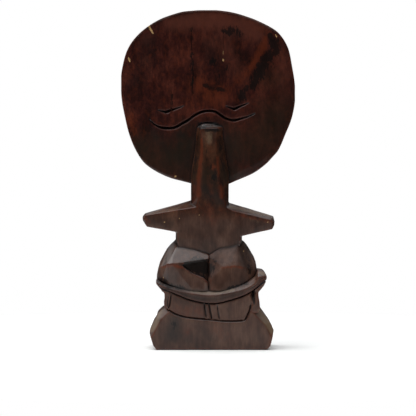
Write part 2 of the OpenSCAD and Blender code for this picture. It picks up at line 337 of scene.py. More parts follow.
def handCut(obj, lines, marks, finish):
    path = linePath(obj.name + "Lines", lines)
    cut = obj.modifiers.new("handCut", "NODES")
    cut.node_group = handCutGroup
    sockets = {s.name: s.identifier for s in handCutGroup.interface.items_tree if s.in_out == "INPUT"}
    cut[sockets["Lines"]] = path
    cut[sockets["Scallop Size"]] = marks["scallopSize"] * mm
    cut[sockets["Scallop Depth"]] = marks["scallopDepth"] * mm
    cut[sockets["Wave Size"]] = marks["waveSize"] * mm
    cut[sockets["Wave Depth"]] = marks["waveDepth"] * mm
    cut[sockets["Seed"]] = float(marks["seed"])
    cut[sockets["Finish"]] = finish
    bakeModifiers(obj)
    drop(path)
    return obj


def fromHex(code):
    parts = [int(code[i:i + 2], 16) / 255 for i in (1, 3, 5)]
    return tuple(c / 12.92 if c < 0.04045 else ((c + 0.055) / 1.055) ** 2.4 for c in parts) + (1.0,)


# A pale hardwood under a dark spirit stain and rubbed wax: deep red-brown with long vertical
# grain, black where stain pooled and as painted shade in hollows and carved lines, orange where
# it was rubbed through, a pale painted highlight on some facets, and a low broad gloss.
stain = {
    "deep": "#1f0d0b", "mid": "#391814", "light": "#5a2b20",
    # the dust colours paint a lighter greyish film below the chest: dust, and a painted sheen
    "dustSheenDeep": "#38251e", "dustSheenMid": "#4e352b", "dustSheenLight": "#62473a",
    # the two near-black colours paint shade as well as pooled stain, and the pale tan paints highlights
    "faded": "#292016", "thin": "#6b3a2d", "pale": "#7a6650", "pooled": "#080504", "smoke": "#1d1a18",
    "rubbed": "#6e3019", "grime": "#050303", "raw": "#c8a06c", "edge": "#5c2818",
    "roughness": 0.33, "ior": 1.38, "coat": 0.08, "coatRoughness": 0.2,
    # width and length in mm, detail, roughness
    "patterns": {"grain": (1.1, 16, 5.0, 0.55), "fine": (0.55, 7, 3.0, 0.65),
                 "blotch": (24, 38.4, 3.0, 0.55), "mottle": (6, 13.2, 4.0, 0.6),
                 # drawn coarser than real pores and flecks, so that they show
                 "speckle": (2.0, 2.8, 4.0, 0.75), "glow": (3.4, 5.2, 3.0, 0.6),
                 "jag": (1.6, 5.5, 4.0, 0.7)},
    # two patterns with the share of each, and what is added
    "blends": {"tone": ("blotch", 0.55, "mottle", 0.45, 0), "ragged": ("mottle", 0.7, "jag", 1.1, -0.9),
               "height": ("grain", 0.6, "fine", 0.4, 0)},
    # from where a mark shows, where it is full, how ragged its edge is, its strength and colour
    # smoke also paints shade beside the nose ridge, on the neck under the disc and down the right thigh's
    # side; faded paints shade down both thighs' sides
    "marks": {"smoke": (0.1, 1.0, 1.2, 0.75, "smoke"), "thin": (0.1, 1.0, 0.9, 0.6, "thin"),
              "faded": (0.1, 0.9, 0.5, 0.7, "faded"), "rubbed": (0.2, 0.95, 1.7, 0.6, "rubbed"),
              # pale is a painted highlight, laid on the nose, the shoulder tops, the seat's front and the
              # base's chamfers
              "pale": (0.25, 0.9, 1.0, 0.6, "pale"), "edgeWear": (0.35, 1.0, 1.8, 0.45, "edge"),
              # pooled is pooled stain and also painted shade; crease and groove are painted shade in sunk
              # places, seams and carved lines
              "pooled": (0.32, 0.56, 3.6, 0.85, "pooled"), "crease": (0.25, 1.0, 0.35, 0.8, "grime"),
              "groove": (0.12, 0.6, 0, 0.85, "grime"), "rawWood": (0.1, 0.35, 0, 1, "raw")},
    "duller": {"crease": 0.2, "rawWood": 0.35, "pooled": 0.06}, "unevenGloss": 0.22,
    "warmFlecks": 0.3, "poreShare": 0.5, "heldBy": 2.5, "bumpStrength": 0.35, "bumpHeight": 0.2,
}


def stainedWood(name, look):
    mat = bpy.data.materials.new(name)
    mat.use_nodes = True
    tree = mat.node_tree
    tree.nodes.clear()
    where = addNode(tree, "ShaderNodeTexCoord").outputs["Object"]
    value = {}
    for key, (width, length, detail, rough) in look["patterns"].items():
        scale = (1 / (width * mm), 1 / (width * mm), 1 / (length * mm))
        scaled = addNode(tree, "ShaderNodeMapping", {}, {"Vector": where, "Scale": scale})
        value[key] = addNode(tree, "ShaderNodeTexNoise", {},
                             {"Vector": scaled, "Scale": 1.0, "Detail": detail, "Roughness": rough})
    for key, (first, firstShare, second, secondShare, added) in look["blends"].items():
        part = addNode(tree, "ShaderNodeMath", {"operation": "MULTIPLY_ADD"},
                       {0: value[first], 1: firstShare, 2: added})
        value[key] = addNode(tree, "ShaderNodeMath", {"operation": "MULTIPLY_ADD"},
                             {0: value[second], 1: secondShare, 2: part})
    # what each colour ramp reads, and its stops
    ramps = {
        "stained": ("tone", [(0.36, fromHex(look["deep"])), (0.5, fromHex(look["mid"])),
                             (0.64, fromHex(look["light"]))]),
        "dustAndSheenTone": ("tone", [(0.36, fromHex(look["dustSheenDeep"])), (0.5, fromHex(look["dustSheenMid"])),
                            (0.64, fromHex(look["dustSheenLight"]))]),
        "streak": ("grain", [(0.34, (0.85, 0.84, 0.83, 1)), (0.52, (1, 1, 1, 1)),
                             (0.68, (1.1, 1.06, 1.04, 1))]),
        "flecks": ("speckle", [(0.36, (0.66, 0.68, 0.7, 1)), (0.64, (1.36, 1.3, 1.24, 1))]),
        "warmth": ("glow", [(0.5, (0, 0, 0, 1)), (0.68, (1, 1, 1, 1))]),
        "pores": ("fine", [(0.33, (0.5, 0.48, 0.46, 1)), (0.43, (1, 1, 1, 1))]),
    }
    for key, (source, stops) in ramps.items():
        value[key] = addNode(tree, "ShaderNodeValToRGB", {}, {"Fac": value[source]})
        points = value[key].color_ramp.elements
        while len(points) < len(stops):
            points.new(0.5)
        for point, (at, colour) in zip(points, stops):
            point.position = at
            point.color = colour
    warmFlecks = addNode(tree, "ShaderNodeMath", {"operation": "MULTIPLY"},
                         {0: value["warmth"], 1: look["warmFlecks"]})
    # the dust attribute lays that greyish film: dust and painted sheen
    dust = addNode(tree, "ShaderNodeAttribute", {"attribute_name": "dust"}).outputs["Fac"]
    dustSheenFilm = addNode(tree, "ShaderNodeMix", {"data_type": "RGBA", "blend_type": "MULTIPLY"},
                   {"Factor": 1.0, "A": value["dustAndSheenTone"], "B": value["streak"]}).outputs["Result"]
    base = value["stained"]
    for blend, share, colour in (("MULTIPLY", 1.0, value["streak"]), ("MULTIPLY", 1.0, value["flecks"]),
                                 ("MIX", warmFlecks, fromHex(look["rubbed"])),
                                 ("MULTIPLY", look["poreShare"], value["pores"]), ("MIX", dust, dustSheenFilm)):
        base = addNode(tree, "ShaderNodeMix", {"data_type": "RGBA", "blend_type": blend},
                       {"Factor": share, "A": base, "B": colour}).outputs["Result"]
    # a painted mark gets a ragged edge from the grain and the mottling, but only where
    # there is some of the mark to hold it
    for key, (low, high, spread, strength, colour) in look["marks"].items():
        mark = addNode(tree, "ShaderNodeAttribute", {"attribute_name": key}).outputs["Fac"]
        held = addNode(tree, "ShaderNodeMath", {"operation": "MULTIPLY", "use_clamp": True},
                       {0: mark, 1: look["heldBy"]})
        torn = addNode(tree, "ShaderNodeMath", {"operation": "MULTIPLY"}, {0: value["ragged"], 1: spread})
        shaken = addNode(tree, "ShaderNodeMath", {"operation": "MULTIPLY_ADD"}, {0: torn, 1: held, 2: mark})
        value[key] = addNode(tree, "ShaderNodeMapRange", {"clamp": True},
                             {"Value": shaken, "From Min": low, "From Max": high})
        share = addNode(tree, "ShaderNodeMath", {"operation": "MULTIPLY"}, {0: value[key], 1: strength})
        base = addNode(tree, "ShaderNodeMix", {"data_type": "RGBA", "blend_type": "MIX"},
                       {"Factor": share, "A": base, "B": fromHex(look[colour])}).outputs["Result"]
    dull = addNode(tree, "ShaderNodeMath", {"operation": "MULTIPLY_ADD"},
                   {0: value["mottle"], 1: look["unevenGloss"],
                    2: look["roughness"] - look["unevenGloss"] / 2})
    for key, share in look["duller"].items():
        dull = addNode(tree, "ShaderNodeMath", {"operation": "MULTIPLY_ADD"},
                       {0: value[key], 1: share, 2: dull})
    bump = addNode(tree, "ShaderNodeBump", {}, {"Height": value["height"], "Strength": look["bumpStrength"],
                                                "Distance": look["bumpHeight"] * mm})
    shader = addNode(tree, "ShaderNodeBsdfPrincipled", {},
                     {"Base Color": base, "Roughness": dull, "Normal": bump, "IOR": look["ior"],
                      "Coat Weight": look["coat"], "Coat Roughness": look["coatRoughness"],
                      "Coat IOR": 1.45})
    addNode(tree, "ShaderNodeOutputMaterial", {}, {"Surface": shader})
    return mat


stainedFinish = stainedWood("darkSpiritStainedHardwoodWaxed", stain)
# rubbed thinner by hands: a warmer brown, with a dull greyish film on the chest and arms, part old wax and
# dust and part painted sheen
handledFinish = stainedWood("handRubbedStainedHardwoodWaxed", {
    **stain, "deep": "#22110b", "mid": "#3b1f13", "light": "#5a3623", "ior": 1.42, "coat": 0.12,
    "roughness": 0.37})
# buffed: the clearest glare of all on the knife facets
thighFinish = stainedWood("buffedStainedHardwoodWaxed", {
    **stain, "deep": "#2c1913", "mid": "#3c241b", "light": "#523327", "ior": 1.42, "coat": 0.14,
    "roughness": 0.33, "coatRoughness": 0.16})
# the right thigh is browner and has lost most of its polish
dullFinish = stainedWood("rubbedDullStainedHardwood", {
    **stain, "deep": "#46291f", "mid": "#5a382b", "light": "#724a3a", "ior": 1.33, "coat": 0.0,
    "roughness": 0.4})
# brown, thinly stained and nearly matt
stoolFinish = stainedWood("mattStainedHardwoodWaxed", {
    **stain, "deep": "#2f1c16", "mid": "#432a21", "light": "#583c2f", "ior": 1.43, "coat": 0.08,
    "roughness": 0.42})
handCutGroup = handCutTree()
print("materials and the carving tree made")


# Head disc.
headDisc = {
    "outline": [(5, 330), (-14, 329.3), (-30, 327), (-50.5, 319.3), (-66.5, 307.6), (-78, 292), (-84, 272.5),
                (-85, 257), (-84, 241), (-81, 225.5), (-77, 210), (-71, 194.5), (-64, 182.8), (-54.5, 175),
                (-38.5, 167), (-26, 163.3), (-12, 160.2), (4, 158.5), (17, 159.6), (27, 163.3), (44, 171),
                (55.5, 179), (63, 187), (69, 194.5), (76, 210), (82, 225.5), (85, 243), (84.8, 257),
                (82.5, 272.5), (78, 292), (71.5, 304), (63.8, 311.5), (49, 319.3), (38.5, 323.4),
                (25.7, 327)],
    "middle": (0, 245), "front": -4.0, "back": 13.0, "frontRound": 1.2, "backRound": 5.0,
    "rimStep": 1.5, "gridStep": 1.5, "fineStep": 0.45, "fineReach": 2.6,
}
brow = {"points": [(-57, 222.8), (-52.4, 218.4), (-46.3, 215.5), (-39.7, 214.7), (-32.3, 215.5),
                   (-26, 218.9), (-19.6, 222.5), (-13.6, 227), (-6.8, 230.4), (-0.9, 231.6), (5.9, 231.1),
                   (9.6, 229.2), (14.8, 225.5), (20, 223.3), (25.3, 222.5), (30.4, 223.6), (38.5, 225.9),
                   (46, 229.2)],
        "half": 1.8, "cut": 3.0, "ends": 0.14}
leftEye = {"points": [(-49, 232.2), (-41.5, 230.4), (-24, 236.4)], "half": 1.95, "cut": 2.9, "soft": False,
           "peak": 0.36}
rightEye = {"points": [(17.4, 236.2), (25.1, 233.4), (39.5, 239.4)], "half": 1.85, "cut": 2.9, "soft": False,
            "peak": 0.38}
noseArch = {"points": [(-11, 215.5), (-6.3, 218.9), (0, 219.8), (7, 218.2), (14.6, 216)], "half": 1.1,
            "cut": 1.4}
faceLines = [
    brow, leftEye, rightEye, noseArch,
    # fine drying cracks along the grain
    {"points": [(-16, 310), (-16.4, 300), (-15.6, 289)], "half": 0.7, "cut": 0.4},
    {"points": [(-16, 281), (-14.6, 268), (-15.4, 256), (-14.8, 246)], "half": 0.75, "cut": 0.5},
    {"points": [(14.8, 312), (14.9, 300), (14.6, 290)], "half": 0.5, "cut": 0.35},
    {"points": [(-35.5, 254), (-36, 243), (-35.6, 226)], "half": 0.5, "cut": 0.3},
    # chips down to the pale wood
    {"points": [(-58.7, 315.4), (-56, 311), (-53.6, 307)], "half": 1.3, "cut": 0.5, "bare": 1, "ends": 0.4},
    {"points": [(-77.9, 284), (-76.2, 279.4)], "half": 1.2, "cut": 0.4, "bare": 1, "soft": False,
     "ends": 0.4},
    {"points": [(14.7, 291), (14.6, 286)], "half": 0.5, "cut": 0.15, "bare": 0.4, "soft": False},
    {"points": [(14.7, 282.4), (14.8, 280)], "half": 1.0, "cut": 0.3, "bare": 1, "soft": False},
    {"points": [(65.5, 306.5), (67.2, 303.6)], "half": 0.8, "cut": 0.3, "bare": 0.7, "soft": False},
    {"points": [(-32.6, 167.4), (-31, 168.2)], "half": 0.9, "cut": 0.3, "bare": 0.9, "soft": False},
]

discFront = {
    "lean": 2.0, "leanFrom": 268, "leanSpan": 62, "side": 1.4, "halfWidth": 85,  # the top and sides tip back
    "rightSlope": 0.04, "rightFrom": 28, "rightLevels": (285, 225),  # the lower right is its own plane
    "facetX": 21, "facetAcross": 0.46, "facetZ": 163.5, "facetUp": 0.89, "facetWider": 3.6,
    "facetSlope": 0.16, "facetEnd": 14,  # a long slanting facet off the lower right edge
    "hollow": 2.2, "hollowReach": 9.5, "hollowLevels": (228, 188),  # beside the nose
    "lookUp": 0.02, "middle": 245,  # the whole face looks up a little
}


def frontShape(x, z):
    # how far the front lies back from its flat plane, in mm
    f = discFront
    lean = f["lean"] * np.clip((z - f["leanFrom"]) / f["leanSpan"], 0, 1) ** 2
    side = f["side"] * np.clip(np.abs(x) / f["halfWidth"], 0, 1) ** 3
    right = f["rightSlope"] * np.clip(x - f["rightFrom"], 0, None) * smoothStep(*f["rightLevels"], z)
    past = (x - f["facetX"]) * f["facetAcross"] - (z - f["facetZ"]) * f["facetUp"] + f["facetWider"]
    facet = f["facetSlope"] * np.clip(past, 0, None) * (x > f["facetEnd"])
    ridgeLeft = np.interp(z, [160, 175, 190, 213], [-16.5, -16, -12.8, -11])
    ridgeRight = np.interp(z, [160, 168, 181, 213], [20.3, 19.8, 17.8, 14])
    off = np.where(x < 1, ridgeLeft - x, x - ridgeRight)
    bowl = np.exp(-(np.clip(off, -6, None) / f["hollowReach"]) ** 2) * smoothStep(*f["hollowLevels"], z)
    return f["lookUp"] * (z - f["middle"]) + lean + side + right + facet + f["hollow"] * bowl


def makeHeadDisc():
    d = headDisc
    cx, cz = d["middle"]
    ring = curveThrough(d["outline"], 10, closed=True)
    along = np.concatenate([[0], np.cumsum(np.hypot(*np.diff(np.vstack([ring, ring[:1]]), axis=0).T))])
    count = int(along[-1] / d["rimStep"])
    at = np.linspace(0, along[-1], count, endpoint=False)
    closedRing = np.vstack([ring, ring[:1]])
    ring = np.stack([np.interp(at, along, closedRing[:, i]) for i in (0, 1)], 1)
    ring[:, 0] = np.clip(ring[:, 0], -84.9, 84.9)
    ring[:, 1] = np.minimum(ring[:, 1], 329.9)
    arm = ring - (cx, cz)
    reach = np.hypot(arm[:, 0], arm[:, 1])
    turn = np.arctan2(arm[:, 1], arm[:, 0])
    order = np.argsort(turn)

    def inset(r):
        return ring - arm / reach[:, None] * r

    rings = []  # (inset, depth, share of the front's shape)
    for a in np.radians([0, 22, 45, 67, 90]):
        rings.append((d["frontRound"] * (1 - math.sin(a)), d["front"] + d["frontRound"] * (1 - math.cos(a)),
                      1 - 0.5 * math.sin(a)))
    for k in (0.33, 0.67):
        low, high = d["front"] + d["frontRound"], d["back"] - d["backRound"]
        rings.append((0.9 * k, low + (high - low) * k, 0.5 * (1 - k)))  # the edge draws in to the back
    for a in np.radians([90, 72, 54, 36, 18, 0]):
        rings.append((0.9 + d["backRound"] * (1 - math.sin(a)),
                      d["back"] - d["backRound"] * (1 - math.cos(a)), 0))
    verts, faces = [], []
    for r, y, share in rings:
        flat = inset(r)
        back = frontShape(flat[:, 0], flat[:, 1]) * share
        verts += [(x, y + b, z) for (x, z), b in zip(flat, back)]
    n = count
    for j in range(len(rings) - 1):
        for i in range(n):
            faces.append([j * n + i, j * n + (i + 1) % n, (j + 1) * n + (i + 1) % n, (j + 1) * n + i])

    def fill(edge, grid, y, first, shape):
        # flat fill of a cap: an even grid, and close points beside the lines
        cap = inset(edge)
        pts = [Vector(p) for p in cap]
        bound = [(i, (i + 1) % n) for i in range(n)]
        limit = np.interp(np.arctan2(grid[:, 1] - cz, grid[:, 0] - cx), turn[order], reach[order],
                          period=2 * math.pi) - edge - 0.8
        inner = grid[np.hypot(grid[:, 0] - cx, grid[:, 1] - cz) < limit]
        pts += [Vector(p) for p in inner]
        out, _, tris, _, _, _ = delaunay_2d_cdt(pts, bound, [], 1, 1e-4)
        start = len(verts)
        index = []
        for k, p in enumerate(out):
            if k < n:
                index.append(first + k)
            else:
                index.append(start + k - n)
                verts.append((p[0], y + (float(frontShape(np.array(p[0]), np.array(p[1]))) if shape else 0),
                              p[1]))
        for tri in tris:
            faces.append([index[i] for i in tri])

    step = d["gridStep"]
    gx, gz = np.meshgrid(np.arange(-86, 86, step), np.arange(157, 331, step * 0.87))
    gx = gx + (np.arange(gx.shape[0]) % 2)[:, None] * step / 2
    even = np.stack([gx.ravel(), gz.ravel()], 1)
    path = np.vstack([curveThrough(line["points"], 14) if line.get("soft",
                                                                   True) else straightSteps(line["points"])
                      for line in faceLines])
    fineStep = d["fineStep"]
    fx, fz = np.meshgrid(np.arange(-82, 72, fineStep), np.arange(163, 320, fineStep * 0.87))
    fx = fx + (np.arange(fx.shape[0]) % 2)[:, None] * fineStep / 2
    fine = np.stack([fx.ravel(), fz.ravel()], 1)
    fine = fine[nearestGap(fine, path) < d["fineReach"]]
    coarse = even[nearestGap(even, path) > d["fineReach"] + 0.4]
    fill(d["frontRound"], np.vstack([coarse, fine]), d["front"], 0, True)
    fill(0.9 + d["backRound"], even[::2], d["back"], (len(rings) - 1) * n, False)
    obj = meshObject("headDisc", verts, faces)
    tidyMesh(obj)
    return obj


def nearestGap(points, path):
    best = np.full(len(points), 1e9)
    for p in path[::3]:
        best = np.minimum(best, np.hypot(points[:, 0] - p[0], points[:, 1] - p[1]))
    return best


def tidyMesh(obj, weld=0.00001):
    bm = bmesh.new()
    bm.from_mesh(obj.data)
    bmesh.ops.remove_doubles(bm, verts=bm.verts, dist=weld)
    bmesh.ops.recalc_face_normals(bm, faces=bm.faces)
    bm.to_mesh(obj.data)
    bm.free()


discMarks = {"scallopSize": 24, "scallopDepth": 0.55, "waveSize": 30, "waveDepth": 0.7, "seed": 3}
disc = handCut(makeHeadDisc(), faceLines, discMarks, stainedFinish)
print("head disc:", len(disc.data.polygons), "faces")


# Nose, neck, chest and arms: one skin, parted afterwards.
upperBody = {
    "voxel": 0.6, "soften": 3,
    # level, left foot, left edge, right edge, right foot, front at left, middle and right, depth of the foot
    "ridge": [(130, -16.6, -11.5, 18.5, 19.6, -16, -16, -16, -9),
              (140.4, -16.6, -10.9, 17.4, 19.6, -16, -16, -16, -9),
              (148.7, -16.6, -8.8, 13.9, 19.6, -16, -16, -16, -8.5),
              (162.3, -16.6, -9.2, 11.2, 20.3, -16, -16, -16, -8.5),
              (170, -16.3, -8.4, 10, 19.9, -15.9, -15.9, -15.9, -8),
              (177, -15.6, -7.7, 9.2, 18.6, -15.6, -15.7, -15.6, -7.4),
              (187.7, -13.3, -5.9, 8.3, 17, -15, -15.1, -15, -6.8),
              (197.4, -12.2, -5.1, 7.7, 15.7, -14.2, -14.4, -14.2, -6.4),
              (205, -11.6, -6, 8.2, 14.6, -12.7, -12.9, -12.7, -6.2),
              (211.6, -11.2, -7.3, 8.8, 14, -11.0, -11.2, -11.0, -5.8),
              (214.7, -10.8, -6.8, 9.8, 14.2, -10.6, -11.0, -10.8, -5.4),
              (216.0, -10.2, -6.4, 9.6, 14, -7.8, -7.0, -6.0, -5.1),
              (219.0, -7, -4.5, 6.5, 9, -5.6, -5.7, -5.5, -4.8), (220.2, -5, -3, 5, 7, -3, -3, -3, -3)],
    "backOfNeck": [(-16.6, -9), (20, -9), (20, 6), (13, 12.5), (-10, 12.5), (-16.6, 6)],
    "chest": [(-28.5, -15.3, 98), (-14, -15.2, 96), (-1.7, -15.0, 91), (8, -15.1, 95.5), (30.4, -15.3, 101),
              (-29.4, -15.8, 107), (31.4, -15.7, 106), (0, -15.9, 107), (-20, -16.2, 128), (20, -16.2, 126),
              (-29.6, -16.0, 118), (31.6, -16.0, 116), (-31.2, -8, 113), (32.4, -8, 109), (-31.6, -8, 103),
              (33, -8, 104), (-28, -9, 90), (28, -9, 92), (0, -8, 82), (-31.2, -16, 135), (-11, -16, 137.8),
              (18, -16, 137.4), (32.2, -16, 130.4), (32.2, -11, 133), (23, -11.5, 135.6),
              (-31.2, -2, 139.9), (-16.4, -1, 144.4), (-16.4, 5, 144.2), (20.2, -1, 142), (20.2, 5, 141.8),
              (32.2, -2, 138.4), (-31, 11, 136), (32, 11, 134.5), (-16, 12.6, 139), (20, 12.6, 138),
              (-30, 12.6, 100), (31, 12.6, 100), (-24, 12.6, 90), (24, 12.6, 90)],
    "leftArm": [(-24, -15.6, 113), (-24, -16, 136), (-24, -2, 142), (-24, 11, 137), (-24, 12, 113),
                (-31, -15.7, 113.8), (-31, -12, 113.6), (-31, 9, 114.2), (-60.8, -13.2, 129.8),
                (-61.4, -2.5, 131.6), (-61.4, 6, 130.4), (-63.6, -5, 129), (-64, -6, 127.6),
                (-63.9, 3, 127.6), (-63.4, -10.5, 124.6), (-63.4, 6.5, 124.6), (-59.6, -12.6, 118.9),
                (-59.6, 8, 118.9), (-62.3, -12.8, 127)],
    "rightArm": [(25, -15.6, 110), (25, -16, 134.4), (25, -11, 135.6), (25, -2, 140.5), (25, 11, 136),
                 (25, 12, 110), (32.3, -15.7, 109.9), (32.3, -12, 109.6), (32.3, 9, 109.6), (35, -16, 129),
                 (61.5, -13.4, 125), (61.5, -10.6, 127.7), (63.7, -3, 128.9), (63, 6, 127.6),
                 (64.8, -8, 123.6), (64.8, 4, 123.6), (64.4, -11, 120.2), (64.3, 7, 120.2),
                 (62.5, -12.6, 116.4), (62.3, 8, 116.4)],
}


def paleSpeck(x, z, size=0.8, y=-16):
    return {"points": [(x, z + 0.4), (x, z - 0.4)], "half": size, "cut": 0.1, "bare": 1, "soft": False,
            "ends": 0.6, "y": y}


upperLines = [
    noseArch, paleSpeck(-8.8, 130.2), paleSpeck(-42.4, 123.3), paleSpeck(58, 123.3, 0.7),
    paleSpeck(-28, 127, 0.5),
    {"points": [(-1, 196), (-2, 188), (-1.5, 182)], "half": 0.5, "cut": 0.25, "y": -15},
]
upperMarks = {"scallopSize": 15, "scallopDepth": 0.35, "waveSize": 18, "waveDepth": 0.35, "seed": 11}


def makeUpperBody():
    d = upperBody
    ridge = [[(footL, -2, z), (footL, side, z), (edgeL, left, z), ((edgeL + edgeR) / 2, middle, z),
              (edgeR, right, z), (footR, side, z), (footR, -2, z)]
             for z, footL, edgeL, edgeR, footR, left, middle, right, side in d["ridge"]]
    neck = [[(x, y, z) for x, y in d["backOfNeck"]] for z in (128, 162)]
    parts = [loftPart(ridge), loftPart(neck), hullPart(d["chest"]), hullPart(d["leftArm"]),
             hullPart(d["rightArm"])]
    return carvedSkin("upperBody", parts, d["voxel"], d["soften"])


upper = handCut(makeUpperBody(), upperLines, upperMarks, handledFinish)
upperWhole = copyOf(upper, "upperWhole")
neckBlock = (-16.9, -40, 138), (20.4, 40, 400)
cellTools = {
    "noseRidge": ("INTERSECT", (-60, -40, 160), (60, 40, 400)),
    "neck": ("INTERSECT", (neckBlock[0][0], -40, 138), (neckBlock[1][0], 40, 160)),
    "leftArm": ("INTERSECT", (-120, -40, 60), (-31, 40, 159)),
    "rightArm": ("INTERSECT", (32, -40, 60), (120, 40, 159)),
}
upperPieces = {}
for name, (operation, low, high) in cellTools.items():
    piece = copyOf(upper, name)
    tool = blockTool(low, high)
    upperPieces[name] = booleanCut(piece, tool, operation)
    drop(tool)
torso = copyOf(upper, "torso")
for operation, low, high in (("INTERSECT", (-31, -40, 60), (32, 40, 400)), ("DIFFERENCE", *neckBlock)):
    tool = blockTool(low, high)
    booleanCut(torso, tool, operation)
    drop(tool)
upperPieces["torso"] = torso
drop(upper)
print("upper body parted:", {k: len(o.data.polygons) for k, o in upperPieces.items()})


# Thighs.
thighs = {
    "voxel": 0.55, "soften": 3,
    "left": [(-48, -14, 78), (-45.6, -18.5, 80.2), (-40, -27, 82.8), (-35, -28, 83.5), (-26, -26.7, 84.2),
             (-15, -24.7, 85.4), (-6, -22.5, 86.8), (0.6, -21, 87.8),
             (-31.6, -15.4, 98.8), (-26, -15.2, 98.5), (-12.4, -15.9, 95.8), (-2, -17.6, 91.9),
             (0.6, -18.1, 91), (-35, -22.7, 89.8), (-31, -4, 106.6), (-37, -4, 101), (-40.3, -4, 97),
             (-44.4, -4, 89.2), (-46.9, -4, 84.3), (-48.7, -4, 78), (-49.9, -4, 70), (-50, -4, 64),
             (-49.2, -12, 68), (-45.5, -20, 67), (-38, -25, 63), (-28, -27, 60), (-14.8, -28, 57.5),
             (-4.5, -27.5, 57.6), (-2, -27.5, 66), (0.6, -25, 66), (0.6, -25.5, 57), (-50, 10, 64),
             (-50, 10, 72), (-45, 19, 64), (-43.5, 20, 78), (-38, 16, 95), (-30, 13, 104), (-26, 27, 62),
             (-24, 27.5, 78), (-12, 27, 80), (-6, 27, 62), (0.6, 22, 62), (0.6, 22, 80), (-10, 14, 100),
             (0.6, 13, 99), (-45, 10, 54), (-20, 24, 48), (0.6, 22, 46), (0.6, -20, 48), (-20, -22, 50),
             (-40, -18, 56)],
    # the deep black hollow between the raised facet and the lobe, front outline
    "pocket": [(-25.5, 81.8), (-22.5, 83.6), (-16, 85.0), (-9, 85.9), (0.9, 87.4), (0.9, 64.5), (-1.2, 66.4),
               (-5, 69.8), (-9.5, 71.4), (-13.4, 72.9), (-17.2, 75.2), (-20.4, 77.8), (-22.8, 79.4)],
    "right": [(45.6, -17.5, 75.3), (36.4, -24, 79.3), (28.4, -26, 81.3), (22, -26.4, 80.7),
              (15, -25.8, 79.9), (9, -23.6, 77.3), (3, -21.2, 75.4), (4.2, -15.4, 92.4), (8.4, -18.8, 88.6),
              (11.4, -15.6, 97.4), (28.6, -15.4, 100.8), (32, -6, 105.6), (34.3, -4, 104.8),
              (37.5, -4, 100.9), (40.1, -4, 97), (42.4, -4, 93), (44.7, -4, 89.2), (46.3, -4, 84.3),
              (47.4, -4, 77), (47.8, -4, 66), (45.8, -17, 71), (40, -22, 67), (30.4, -25.5, 61.5),
              (11.4, -28, 57.5), (3.5, -27.5, 58.5), (2.6, -27, 67), (0.4, -17.0, 90.4), (0.4, -19.5, 80),
              (0.4, -20.8, 75), (0.4, -24.5, 66), (0.4, -25.5, 57), (47.4, 10, 66), (47.4, 10, 74),
              (43, 19, 64), (42, 20, 78), (37, 16, 95), (30, 13, 103), (26, 27, 62), (24, 27.5, 78),
              (12, 27, 80), (6, 27, 62), (0.4, 22, 62), (0.4, 22, 80), (10, 14, 100), (0.4, 13, 99),
              (42, 10, 56), (20, 24, 48), (0.4, 22, 46), (0.4, -20, 48), (20, -22, 50), (38, -18, 58)],
}
thighMarks = {"scallopSize": 13, "scallopDepth": 0.4, "waveSize": 14, "waveDepth": 0.4, "seed": 21}


thighLines = [paleSpeck(34.6, 95, 0.7, -18), paleSpeck(-43.4, 69.7, 0.7, -22)]


def makeThigh(name, corners, seed, finish, pocket=None):
    block = hullPart(corners)
    if pocket:
        # its back wall runs deeper towards the middle and towards the top
        wall = [(x, -24 + 0.26 * (x + 25) + 0.12 * (z - 72), z) for x, z in pocket]
        solid = meshObject("thighBlank", *block)
        tool = meshObject("pocketTool", *loftPart([[(x, -45, z) for x, z in pocket], wall]))
        booleanCut(solid, tool, "DIFFERENCE")
        block = plainPart(solid)
        drop(solid, tool)
    skin = carvedSkin(name, [block], thighs["voxel"], thighs["soften"])
    return handCut(skin, thighLines, {**thighMarks, "seed": seed}, finish)


def plainPart(obj):
    verts = [tuple(c / mm for c in v.co) for v in obj.data.vertices]
    return verts, [list(p.vertices) for p in obj.data.polygons]


leftThigh = makeThigh("leftThigh", thighs["left"], 21, thighFinish, thighs["pocket"])
rightThigh = makeThigh("rightThigh", thighs["right"], 22, dullFinish)
print("thighs:", len(leftThigh.data.polygons), len(rightThigh.data.polygons))


# Stool.
stool = {
    "voxel": 0.6, "soften": 3, "front": -30.6, "back": 28.0, "stripDepth": 5.6,
    # across, underside, foot of the light strip, top: the band climbs at both ends
    "seat": [(-50.3, 63.8, 65.8, 68.6), (-49, 62.0, 64.6, 67.4), (-46, 60.0, 62.8, 65.4),
             (-42.7, 58.0, 61.2, 63.6), (-38, 56.8, 59.6, 62.0), (-32.9, 55.2, 58.0, 60.6),
             (-26, 52.2, 56.4, 59.5), (-20.7, 49.9, 55.4, 58.8), (-13, 47.6, 54.2, 58.1),
             (-6.1, 46.2, 53.2, 57.7), (0, 45.5, 52.8, 57.6), (7.3, 45.4, 53.0, 57.7),
             (13, 46.4, 53.9, 58.1), (18.3, 47.8, 54.9, 58.8), (25, 49.7, 56.2, 60.2),
             (31.7, 51.9, 57.8, 62.2), (36.5, 54.1, 59.6, 64.6), (41.7, 56.8, 62.2, 67.8),
             (45.2, 59.2, 64.8, 70.6), (46.9, 60.7, 67.6, 73.4), (48, 61.6, 70.2, 76.5),
             (50.5, 63.4, 70.9, 76.3), (53.2, 65.0, 71.2, 75.8), (55.4, 66.8, 71.0, 73.6),
             (56.7, 68.6, 70.2, 71.2)],
}


def makeSeat():
    d = stool
    sections = []
    rows = np.array(d["seat"], float)
    # the horn's tip and the left tip draw back from the front plane
    pull = np.interp(rows[:, 0], [-50.2, -46, -36, 40, 52, 56.7], [4.5, 2.2, 0.6, 0, 0.6, 3.5])
    for (x, low, strip, top), back in zip(rows, pull):
        front = d["front"] + back
        slope = min(d["stripDepth"], (top - strip) * 1.15)
        sections.append([(x, front + 0.7, low), (x, d["back"] - back * 0.6, low),
                         (x, d["back"] - back * 0.6, top), (x, front + slope, top), (x, front, strip),
                         (x, front, low + 0.7)])
    return carvedSkin("stoolSeat", [loftPart(sections)], d["voxel"], d["soften"])


